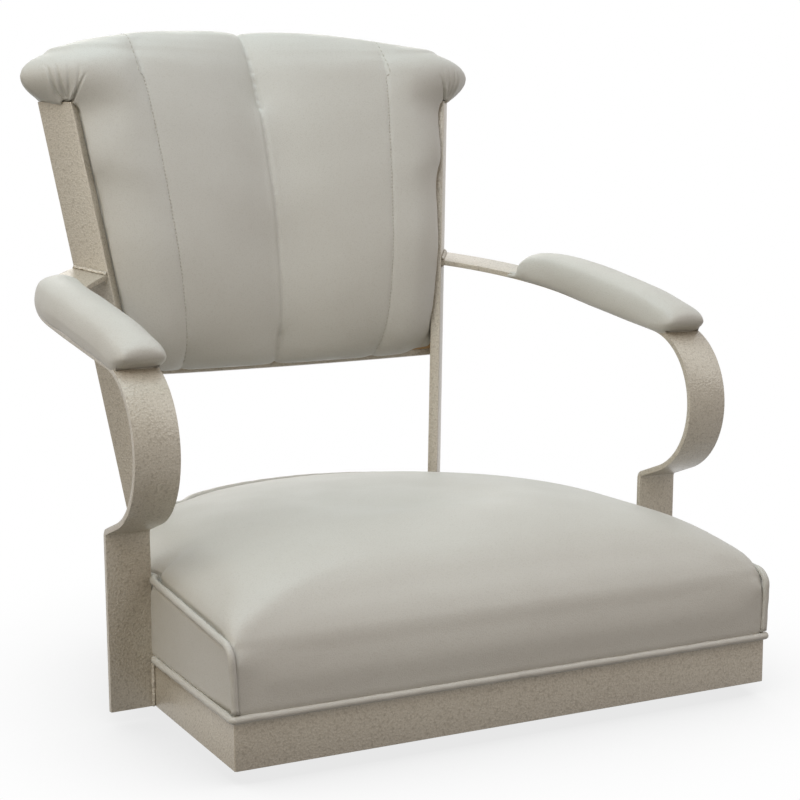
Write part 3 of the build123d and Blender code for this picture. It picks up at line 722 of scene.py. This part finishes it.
def pressed_in(x, y, push, plate_width=plate_reach, upright_width=upright_reach):
    """Moves a point inwards where an arm plate or an upright presses on it."""
    share = bell(y - arm_plate_y, plate_width)
    turn = math.atan2(abs(x), y - hoop_centre_y)
    share += bell((turn - upright_turn) * hoop_radius, upright_width) * (y > hoop_centre_y)
    inward = Vector((-x, min(0, hoop_centre_y - y)))
    inward.normalize()
    return x + inward.x * push * share, y + inward.y * push * share


def rounded_corner(before, corner, after, radius, steps=6):
    """Points of an arc that rounds a corner between two directions."""
    first = (before - corner).normalized()
    second = (after - corner).normalized()
    half = first.angle(second) / 2
    reach = radius / math.tan(half)
    centre = corner + (first + second).normalized() * (radius / math.sin(half))
    start = corner + first * reach - centre
    end = corner + second * reach - centre
    whole = start.angle(end)
    places = []
    for step in range(steps + 1):
        share = step / steps
        spoke = start * math.sin((1 - share) * whole) + end * math.sin(share * whole)
        places.append(centre + spoke / math.sin(whole))
    return places


def tube(name, path, radius, closed, wobble=0.12):
    """A piped edge round a path, slightly uneven as cord in a sewn skin is."""
    path = [Vector(point) for point in path]
    count = len(path)
    vertices = []
    side = Vector((0, 0, 1))
    for index, point in enumerate(path):
        before = path[(index - 1) % count] if closed or index else point
        after = path[(index + 1) % count] if closed or index < count - 1 else point
        along = (after - before).normalized()
        if index == 0:
            side = along.orthogonal()
        side = (side - along * side.dot(along)).normalized()
        up = side.cross(along)
        for step in range(welt_sides):
            angle = 2 * math.pi * step / welt_sides
            swell = 1 + wobble * noise.noise(point * 90 + Vector((step, 0, 0)) * 0.2)
            vertices.append(point + (side * math.cos(angle) + up * math.sin(angle)) * radius * swell)
    faces = []
    for index in range(count if closed else count - 1):
        first = index * welt_sides
        second = (index + 1) % count * welt_sides
        for step in range(welt_sides):
            turn = (step + 1) % welt_sides
            faces.append((first + step, first + turn, second + turn, second + step))
    if not closed:
        faces.append(tuple(range(welt_sides)))
        faces.append(tuple(range((count - 1) * welt_sides, count * welt_sides)))
    return closed_piece(name, vertices, faces)


def mirrored(points):
    return [(-point[0], *point[1:]) for point in reversed(points)]


def base_welt_path():
    outline = seat_half_outline(welt_out, -welt_out + base_welt_corner)
    right = [pressed_in(x, y, welt_push) for x, y in outline]
    corner = Vector((seat_side(0, welt_out), -welt_out, 0))
    bend = rounded_corner(Vector((0, -welt_out, 0)), corner, Vector((*right[2], 0)), base_welt_corner)
    front = [(x, -welt_out) for x in np.arange(0, corner.x - base_welt_corner, welt_step)]
    half = front + [tuple(point.xy) for point in bend] + right[1:]
    whole = half + mirrored(half)[1:-1]
    return [seat_point(x, y, base_welt_height) for x, y in whole]


def top_welt_path():
    def tilted(x, y):
        return Vector((x, y * math.cos(seam_tilt), seam_height + y * math.sin(seam_tilt)))

    start = top_welt_corner_y + top_welt_corner
    right = [tilted(*pressed_in(x, y, welt_push)) for x, y in seat_half_outline(welt_out, start)]
    corner = tilted(seat_side(top_welt_corner_y, welt_out), top_welt_corner_y)
    foot_height = base_welt_height + 1.6 * welt_radius
    foot = Vector((corner.x - leg_lean, corner.y - leg_forward, foot_height))
    bend = rounded_corner(foot, corner, right[1], top_welt_corner, 8)
    count = round((bend[0].z - foot.z) / welt_step)
    leg = [foot.lerp(bend[0], step / count) for step in range(count)]
    half = leg + bend + right[1:]
    whole = [tuple(point) for point in half]
    whole = whole + mirrored(whole)[1:]
    return [seat_point(*point) for point in whole]


base_welt = tube("piping_base", base_welt_path(), welt_radius, True)
finish_piece(base_welt, vinyl, "vinyl", "seat_base_welt", fill=0.9)
top_welt = tube("piping_top", top_welt_path(), welt_radius, False)
finish_piece(top_welt, vinyl, "vinyl", "seat_top_welt", fill=0.9)


# Seat cushion
def outline_place(x, y):
    """Distance inside the seat's outline, and the outward direction there."""
    side = (seat_side(y, 0) - np.abs(x)) * math.cos(taper)
    reach = np.hypot(x, y - hoop_centre_y)
    rear = y > hoop_centre_y + hoop_radius * math.sin(taper)
    beside = side < y
    inside = np.where(rear, hoop_radius - reach, np.minimum(side, y))
    out_x = np.where(rear, x / reach, np.where(beside, np.sign(x) * math.cos(taper), 0))
    out_y = np.where(rear, (y - hoop_centre_y) / reach, np.where(beside, math.sin(taper), -1))
    return inside, out_x, out_y, ~rear & ~beside


def seat_skin():
    obj = padded_skin("seat_cushion", "seat_skin", 4.5 * mm, 4, ["seat_board"])
    points = coordinates(obj.data)
    held = points[:, 2] < seat_base + bar_width + 6 * mm
    inflate(obj, 2.5, 1.6 * mm, held)
    outward = normals(obj.data)
    points = coordinates(obj.data)
    crown = np.clip((outward[:, 2] - 0.9) / 0.08, 0, 1) * (points[:, 2] > seat_base + 100 * mm)
    relax(obj, averaged(crown, edge_pairs(obj.data), 8), 90)
    subdivide(obj)
    points = coordinates(obj.data)
    outward = normals(obj.data)
    x = points[:, 0]
    y = points[:, 1] - seat_front
    z = points[:, 2] - seat_base
    inside, out_x, out_y, front = outline_place(x, y)
    seam = seam_height + y * math.tan(seam_tilt)
    level = np.clip((np.hypot(outward[:, 0], outward[:, 1]) - 0.25) / 0.3, 0, 1)
    corner = bell(np.abs(x) - seat_side(0, 0), 18 * mm)
    rise_front = np.maximum((72 * mm - z) / (22 * mm), corner * (93 * mm - z) / (10 * mm))
    rise = np.where(front, rise_front, (seam - z) / (7 * mm))
    wall = level * np.clip(rise, 0, 1) * (inside < 12 * mm)
    low = np.clip((seam + 8 * mm - z) / (8 * mm), 0, 1) * level * (inside < 14 * mm)
    swell = np.where(front, 0, 1.7) * low
    slope = np.clip((94 * mm - z) / (46 * mm), 0, 1)
    swell += front * front_slope * slope * (1 - 0.7 * corner) * level
    swell -= ~front * slope * bell(y, 40 * mm) * level * 2.4
    aside = ~front * np.clip(y / (30 * mm), 0, 1)
    tuck = aside * bell(z - seam, 3 * mm) * level * 2.2
    foot = bell(z - base_welt_height - 0.5 * mm, 3 * mm) * level * np.where(front, 1.6, 2.2)
    over = aside * bell(z - seam - 9 * mm, 7 * mm) * level * 1.0
    plate_face = seat_side(arm_plate_y, 0) - 7 * mm
    near = np.clip(1 - (plate_face - np.abs(x)) / (34 * mm), 0, 1) ** 1.5
    near *= np.clip((z - seam + 12 * mm) / (14 * mm), 0, 1)
    plate = bell(y - arm_plate_y + 2 * mm, 9 * mm) * near * 6.5
    turn = np.arctan2(np.abs(x), y - hoop_centre_y)
    post = bell((turn - upright_turn) * hoop_radius, 17 * mm) * (y > hoop_centre_y) * level * 3.6
    sideways = inside * wall + (swell + over - tuck - foot - post) * mm
    moved = points.copy()
    moved[:, 0] += out_x * sideways
    moved[:, 1] += out_y * sideways
    uneven = smoothed_noise(points, 13, 3) * 0.2
    moved += outward * ((uneven - plate) * mm)[:, None]
    set_coordinates(obj.data, moved)
    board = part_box("seat_board")
    open_to(obj, "seat_board", (0, 0, -1), board[1].z - board[0].z, 2)
    smooth_shade(obj)
    return finish_piece(obj, vinyl, "vinyl", "seat_cushion", fill=0.85)


seat_skin()


# Back cushion
def leaning(points):
    """Depth behind the front plane and height up the back, for points of the frame."""
    y = points[:, 1] - seat_front - back_foot_y
    z = points[:, 2] - seat_base
    depth = y * math.cos(back_lean) - z * math.sin(back_lean)
    height = y * math.sin(back_lean) + z * math.cos(back_lean)
    return depth, height


def from_leaning(x, depth, height):
    y = back_foot_y + depth * math.cos(back_lean) + height * math.sin(back_lean)
    z = height * math.cos(back_lean) - depth * math.sin(back_lean)
    return seat_point(x, y, z)


def seam_x(height):
    shares = (height - back_low) / back_height
    places, widths = zip(*seam_shares)
    return np.interp(shares, places, widths) * back_half_width


def refine(obj, centres, radius):
    """Splits the faces near the given places, for creases finer than the rest of the skin."""
    grid = bmesh.new()
    grid.from_mesh(obj.data)
    for reach in (radius, radius * 0.8):
        near = []
        for face in grid.faces:
            middle = face.calc_center_median()
            if min((middle - centre).length for centre in centres) < reach:
                near.append(face)
        edges = {edge for face in near for edge in face.edges}
        bmesh.ops.subdivide_edges(grid, edges=list(edges), cuts=1, use_grid_fill=True, smooth=0)
    grid.to_mesh(obj.data)
    grid.free()


def along_crease(width, height, end_width, end_height, bow):
    """Distance to a bowed crease from the gather to its end, and the place along it."""
    run = np.array((end_width - gather_width, end_height - gather_height))
    length = np.hypot(*run)
    run = run / length
    far = width - gather_width
    up = height - gather_height
    place = (far * run[0] + up * run[1]) / length
    across = far * run[1] - up * run[0]
    bent = bow * 4 * place * (1 - place) * (place > 0) * (place < 1)
    return across - bent, place


def upright_face(side):
    """A point and the inward direction of an upright's inner face."""
    mesh = frame["nodes"]["left_upright" if side < 0 else "right_upright"].data
    faces = [face for face in mesh.polygons if face.normal.x * side < -0.6]
    largest = max(faces, key=lambda face: face.area)
    return np.array(largest.center), np.array(largest.normal)


def beside_upright(points):
    """Distance from the inner face of the upright on the same side, and the inward direction."""
    distance = np.zeros(len(points))
    inward = np.zeros((len(points), 3))
    for side in (-1, 1):
        place, normal = upright_face(side)
        here = points[:, 0] * side >= 0
        distance[here] = (points[here] - place) @ normal
        inward[here] = normal
    return distance, inward


rearwards = from_leaning(0, 1, 0) - from_leaning(0, 0, 0)


def clear_uprights(obj, rounds):
    """Moves the skin off the uprights' inner faces, then smooths it beside them."""
    points = coordinates(obj.data)
    depth, height = leaning(points)
    distance, inward = beside_upright(points)
    apart = (0.25 + np.clip((14 * mm - depth) / (14 * mm), 0, 1) * 1.3) * mm
    apart -= np.clip(upright_face_depth - depth, 0, None)
    short = np.clip(apart - distance, 0, None)
    short *= np.clip((upright_top_height + 1 * mm - height) / (9 * mm), 0, 1)
    set_coordinates(obj.data, points + inward * short[:, None])
    along = np.clip((upright_top_height - 14 * mm - height) / (12 * mm), 0, 1)
    near = bell(distance, 9 * mm) * np.clip((16 * mm - depth) / (6 * mm), 0, 1) * along
    relax(obj, near, rounds)


def lift_over(board, points, outward, chosen):
    """How far the chosen points have to rise to lie over the board."""
    lift = np.zeros(len(points))
    for index in np.nonzero(chosen)[0]:
        found, normal, _, _ = board.find_nearest(Vector(points[index]), 8 * mm)
        if found is not None:
            gap = (Vector(points[index]) - found).dot(normal)
            along = max(0.4, normal.dot(Vector(outward[index])))
            lift[index] = max(0, board_cover - gap) / along
    return lift


def back_skin():
    obj = padded_skin("back_cushion", "back_skin", 4 * mm, 4, ["back_board"])
    depth, height = leaning(coordinates(obj.data))
    inflate(obj, 2.0, 2.0 * mm, depth > 45 * mm)
    depth, height = leaning(coordinates(obj.data))
    inner = np.clip((seam_x(height) + 25 * mm - np.abs(coordinates(obj.data)[:, 0])) / (25 * mm), 0, 1)
    inner *= (depth < 15 * mm) * np.clip((roll_height + 10 * mm - height) / (40 * mm), 0, 1)
    relax(obj, inner * np.clip((height - back_low - 10 * mm) / (20 * mm), 0, 1), 60)
    subdivide(obj)
    knots = [from_leaning(side * gather_width, gather_depth, gather_height + 10 * mm) for side in (-1, 1)]
    refine(obj, knots, 42 * mm)
    for rounds in (14, 0):
        clear_uprights(obj, rounds)
    points = coordinates(obj.data)
    knot = np.min([np.linalg.norm(points - np.array(place), axis=1) for place in knots], axis=0)
    relax(obj, bell(knot, 12 * mm), 10)
    points = coordinates(obj.data)
    outward = normals(obj.data)
    depth, height = leaning(points)
    x = points[:, 0]
    width = np.abs(x)
    front = np.clip((60 * mm - depth) / (10 * mm), 0, 1)
    over = np.clip((height - roll_height) / (10 * mm), 0, 1)
    shown = np.maximum(front, over)
    fading = 1 - np.clip((height - 545 * mm) / (30 * mm), 0, 1) * 0.8
    off = width - seam_x(height)
    side_seams = (bell(off, 1.7 * mm) * 1.2 + bell(off, 9 * mm) * 0.7) * fading
    centre_seam = bell(x, 2.4 * mm) * 2.0 + bell(x, 11 * mm) * 0.8
    pucker = np.sin(height / (7 * mm) + smoothed_noise(points, 22, 5) * 4)
    pucker = pucker * bell(off, 7 * mm) * 0.1 * shown
    creases = np.zeros(len(points))
    for end_width, end_height, bow, deep in crease_ends:
        away, place = along_crease(width, height, end_width * mm, end_height * mm, bow * mm)
        fade = np.clip((1.1 - place) / 0.7, 0, 1) * np.clip(1 + place * 6, 0, 1)
        valley = bell(away, 1.2 * mm) * 3.0 - bell(away - 2.6 * mm, 1.8 * mm) * 1.0
        creases += valley * fade * deep
    creases *= (depth < roll_depth) * (height > gather_height - 12 * mm)
    move = (pucker - (side_seams + centre_seam) * shown - creases) * mm
    points += outward * move[:, None]
    places, drops = zip(*roll_settling)
    settled = np.interp(x, np.array(places) * mm, drops) * mm
    points[:, 2] += settled * np.clip((height - 535 * mm) / (35 * mm), 0, 1)
    board = surface_of(bpy.data.objects["dressed_back_board"].data)
    set_coordinates(obj.data, points)
    outward = normals(obj.data)
    lift = lift_over(board, points, outward, height > gather_height - 14 * mm)
    edges = edge_pairs(obj.data)
    lift = np.minimum(np.maximum(lift, averaged(lift, edges, 8)), 3 * mm)
    lift = averaged(lift, edges, 4) * 1.15
    set_coordinates(obj.data, points + outward * lift[:, None])
    open_to(obj, "back_board", rearwards, back_board_thickness, 3)
    smooth_shade(obj)
    return finish_piece(obj, vinyl, "vinyl", "back_cushion", fill=0.8)


back = back_skin()


def stitched_seam(side, surface):
    """Places of a side seam's stitches, found by looking at the skin from in front and above."""
    found = []
    for height in np.arange(back_low + 8 * mm, roll_height, stitch_pitch):
        start = from_leaning(side * seam_x(height), -0.3, height)
        found.append(surface.ray_cast(start, rearwards))
    over_roll = side * seam_x(roll_height + 50 * mm)
    axis = from_leaning(over_roll, roll_depth, roll_height)
    far = 0.2
    for angle in np.arange(math.pi, 0.25 * math.pi, -stitch_turn):
        depth = roll_depth + far * math.cos(angle)
        start = from_leaning(over_roll, depth, roll_height + far * math.sin(angle))
        found.append(surface.ray_cast(start, (axis - start).normalized()))
    return [hit for hit in found if hit[0] is not None]


def stitches(name, skin):
    graph = bpy.context.evaluated_depsgraph_get()
    surface = BVHTree.FromObject(skin, graph)
    vertices = []
    faces = []
    rim = 6
    for side in (-1, 1):
        hits = stitched_seam(side, surface)
        for first, second in zip(hits, hits[1:]):
            gap = second[0] - first[0]
            if not 1 * mm < gap.length < 9 * mm:
                continue
            along = gap.normalized()
            across = along.cross(first[1]).normalized()
            up = across.cross(along)
            if up.dot(first[1]) < 0:
                up = -up
            base = len(vertices)
            for place, size, lift in ((0.14, 0.3, -0.2), (0.3, 1, 0.3), (0.7, 1, 0.3), (0.86, 0.3, -0.2)):
                centre = first[0] + gap * place + up * lift * 0.5 * mm
                for step in range(rim):
                    angle = 2 * math.pi * step / rim
                    offset = across * math.cos(angle) * 0.5 + up * math.sin(angle) * 0.38
                    vertices.append(centre + offset * size * mm)
            for ring in range(3):
                for step in range(rim):
                    turn = (step + 1) % rim
                    low = base + ring * rim
                    faces.append((low + step, low + turn, low + rim + turn, low + rim + step))
            faces.append(tuple(base + step for step in range(rim)))
            faces.append(tuple(base + 3 * rim + step for step in range(rim)))
    return finish_piece(closed_piece(name, vertices, faces), thread, "vinyl")


stitches("back_stitches", back)


# Arm pads
def pad_skin(side):
    node = side + "_arm_pad"
    bar = side + "_arm_bar"
    low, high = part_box(node)
    inner = [node + "_core", bar]
    kept = (low.y + 3 * mm, high.y - 3 * mm, low.z - 3 * mm)
    obj = padded_skin(node, side + "_pad_skin", 2.4 * mm, 20, inner, kept, 9)
    inflate(obj, 2.0, 1.0 * mm)
    subdivide(obj)
    points = coordinates(obj.data)
    outward = normals(obj.data)
    flat = np.clip(1 - np.abs(outward[:, 2]), 0, 1)
    uneven = smoothed_noise(points, 30, 7) * 0.5
    points += outward * ((flat * 1.3 + uneven) * mm)[:, None]
    surface = surface_of(frame["nodes"][bar].data)
    for index in np.nonzero(points[:, 1] < low.y + 9 * mm)[0]:
        found, normal, _, distance = surface.find_nearest(Vector(points[index]), mouth_height)
        if found is not None and normal.z > 0.5:
            points[index][1] += mouth_depth * (1 - distance / mouth_height)
    set_coordinates(obj.data, points)
    open_to(obj, bar, (0, 0, -1), bar_thickness, 2)
    smooth_shade(obj)
    finish_piece(obj, vinyl, "vinyl", node, fill=0.85)


for side in ("left", "right"):
    pad_skin(side)


# Floor, light and camera
floor_drop = 0.2 * mm
floor_colour = (0.16, 0.157, 0.15, 1)
painted_shadow_reach = 0.3
room_colour = (1, 0.78, 0.64, 1)
room_strength = 0.33
lamp_target = (0, 0, 0.3)
focal_length = 88.56
camera_place = (-0.8015, -1.5421, 0.5142)
camera_pitch = math.radians(90 - 8.85)
camera_turn = math.radians(-27.98)

# Each lamp: name, place, size, power and colour
lamps = (
    ("left", (-1.9, -0.7, 1.9), 2.6, 21.5, (1, 0.9, 0.71)),
    ("top_left", (-1.0, -0.5, 2.2), 2.2, 21.5, (0.68, 0.83, 1)),
    ("right", (1.7, -1.2, 2.0), 2.4, 16, (0.94, 0.96, 1)),
    ("top_rear", (0, 0.5, 1.9), 1.2, 6.5, (0.62, 0.9, 1)),
    ("rear", (0.8, 2.4, 1.4), 1.6, 9, (1, 0.95, 0.88)),
)


def sees_backdrop(tree):
    """One for rays that show the white backdrop: straight, mirrored or through glass."""
    path = add(tree, "ShaderNodeLightPath").outputs
    either = path["Is Camera Ray"]
    for kind in ("Is Glossy Ray", "Is Transmission Ray"):
        either = add(tree, "ShaderNodeMath", {0: either, 1: path[kind]}, operation="MAXIMUM").outputs[0]
    return either


def floor():
    bpy.ops.mesh.primitive_plane_add(size=40, location=(0, 0, -floor_drop))
    plane = bpy.context.object
    plane.name = "studio_floor"
    material, tree, shader = node_tree("studio_floor")
    shader.inputs["Base Color"].default_value = floor_colour
    shader.inputs["Roughness"].default_value = 0.9
    # Painted shadow: the floor's white glow is dimmed to 0.8 where ambient occlusion finds the object close
    # by.
    painted_shadow_openness = add(tree, "ShaderNodeAmbientOcclusion", {"Distance": painted_shadow_reach}).outputs["AO"]
    glow = add(tree, "ShaderNodeEmission", {"Strength": ranged(tree, painted_shadow_openness, 0.8, 1.0, 0.4, 0.95)})
    mixed = add(tree, "ShaderNodeMixShader", {"Fac": sees_backdrop(tree)})
    tree.links.new(shader.outputs[0], mixed.inputs[1])
    tree.links.new(glow.outputs[0], mixed.inputs[2])
    tree.links.new(mixed.outputs[0], tree.nodes["Material Output"].inputs["Surface"])
    plane.data.materials.append(material)


def world():
    studio = bpy.data.worlds.new("studio")
    studio.use_nodes = True
    tree = studio.node_tree
    tree.nodes.clear()
    seen = add(tree, "ShaderNodeBackground", {"Color": (1, 1, 1, 1), "Strength": 1.0})
    lit = add(tree, "ShaderNodeBackground", {"Color": room_colour, "Strength": room_strength})
    mixed = add(tree, "ShaderNodeMixShader", {"Fac": sees_backdrop(tree)})
    tree.links.new(lit.outputs[0], mixed.inputs[1])
    tree.links.new(seen.outputs[0], mixed.inputs[2])
    output = add(tree, "ShaderNodeOutputWorld")
    tree.links.new(mixed.outputs[0], output.inputs["Surface"])
    bpy.context.scene.world = studio


def lamp(name, place, size, power, colour):
    data = bpy.data.lights.new(name, "AREA")
    data.shape = "DISK"
    data.size = size
    data.energy = power
    data.color = colour
    obj = bpy.data.objects.new(name, data)
    bpy.context.scene.collection.objects.link(obj)
    obj.location = place
    obj.rotation_euler = (Vector(lamp_target) - Vector(place)).to_track_quat("-Z", "Y").to_euler()


def camera():
    data = bpy.data.cameras.new("camera")
    data.lens = focal_length
    data.sensor_width = 36
    obj = bpy.data.objects.new("camera", data)
    bpy.context.scene.collection.objects.link(obj)
    obj.location = camera_place
    obj.rotation_euler = (camera_pitch, 0, camera_turn)
    bpy.context.scene.camera = obj


floor()
world()
for name, *settings in lamps:
    lamp(name, *settings)
camera()
bpy.context.scene.view_settings.view_transform = "Standard"
